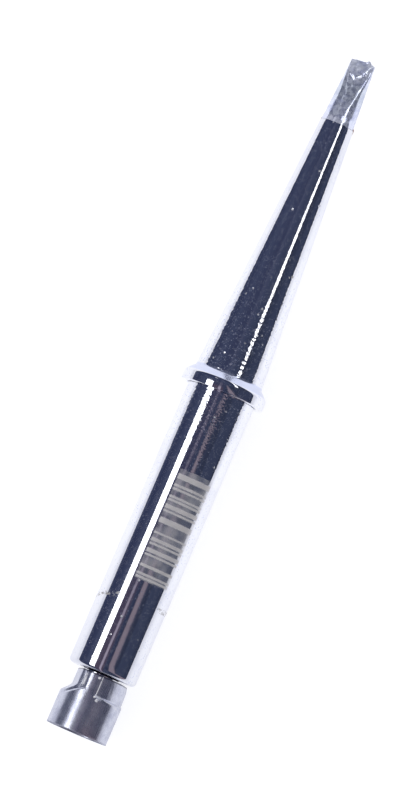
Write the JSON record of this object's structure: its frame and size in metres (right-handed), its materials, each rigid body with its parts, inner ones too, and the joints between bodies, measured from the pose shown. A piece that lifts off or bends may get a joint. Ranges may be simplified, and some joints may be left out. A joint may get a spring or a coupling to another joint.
{
  "type": "soldering iron tip",
  "caption": "Chisel soldering tip of plated copper: long taper, flange, plain round shank, and a crimped steel tail sleeve that holds a magnetic temperature-sensing slug.",
  "frame": {"origin": "on the tool axis, in the plane of the flange's rear face, where the iron's nut seats the tip", "axes": "+X along the tool axis towards the working end, +Z square to the upper chisel flat; the part lies along X"},
  "size_m": [0.072, 0.0088, 0.0088],
  "materials": {
    "chrome_plate": "bright plated, with faint turning marks",
    "solder": "semi-bright solder film",
    "slug_metal": "dull dark nickel-iron",
    "sleeve_steel": "satin stainless steel"
  },
  "bodies": {
    "root": {"tip_body": "chrome_plate", "solder_tinning": "solder", "sensor_slug": "slug_metal", "sensor_sleeve": "sleeve_steel"}
  },
  "joints": []
}
